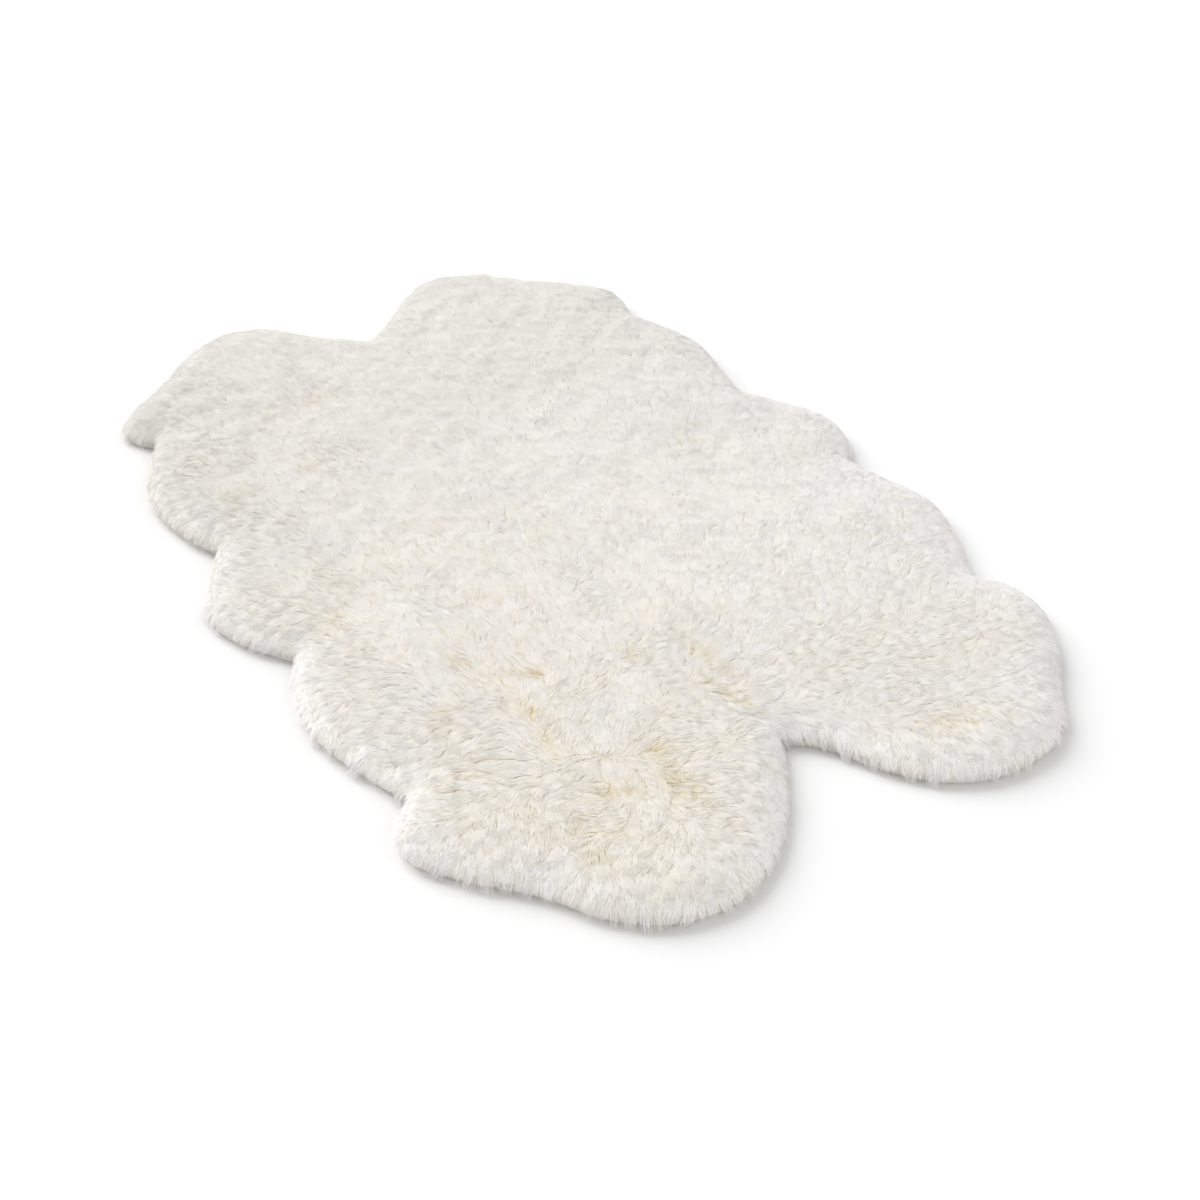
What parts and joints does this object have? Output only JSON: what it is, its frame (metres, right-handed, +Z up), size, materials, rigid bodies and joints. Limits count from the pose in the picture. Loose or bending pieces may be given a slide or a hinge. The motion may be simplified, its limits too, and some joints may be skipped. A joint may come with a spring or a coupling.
{
  "type": "sheepskin rug",
  "caption": "Flat sheepskin rug of pelts sewn side by side and end to end, with long cream wool, scalloped long sides and a notch at each end.",
  "frame": {"origin": "centre of the rug on the surface that it lies on, which is close to the point where its seams cross", "axes": "+Z up through the wool, +Y along the rug's length and +X across it"},
  "size_m": [1.2131, 1.8216, 0.0512],
  "materials": {
    "wool_far_left": "long soft wool, ivory",
    "wool_far_right": "long soft wool, cool ivory",
    "wool_near_left": "long soft wool, warm cream with straw-coloured roots",
    "wool_near_right": "long soft wool, cream"
  },
  "bodies": {
    "root": {"pelt_far_left": "wool_far_left", "pelt_far_right": "wool_far_right", "pelt_near_left": "wool_near_left", "pelt_near_right": "wool_near_right"}
  },
  "joints": []
}
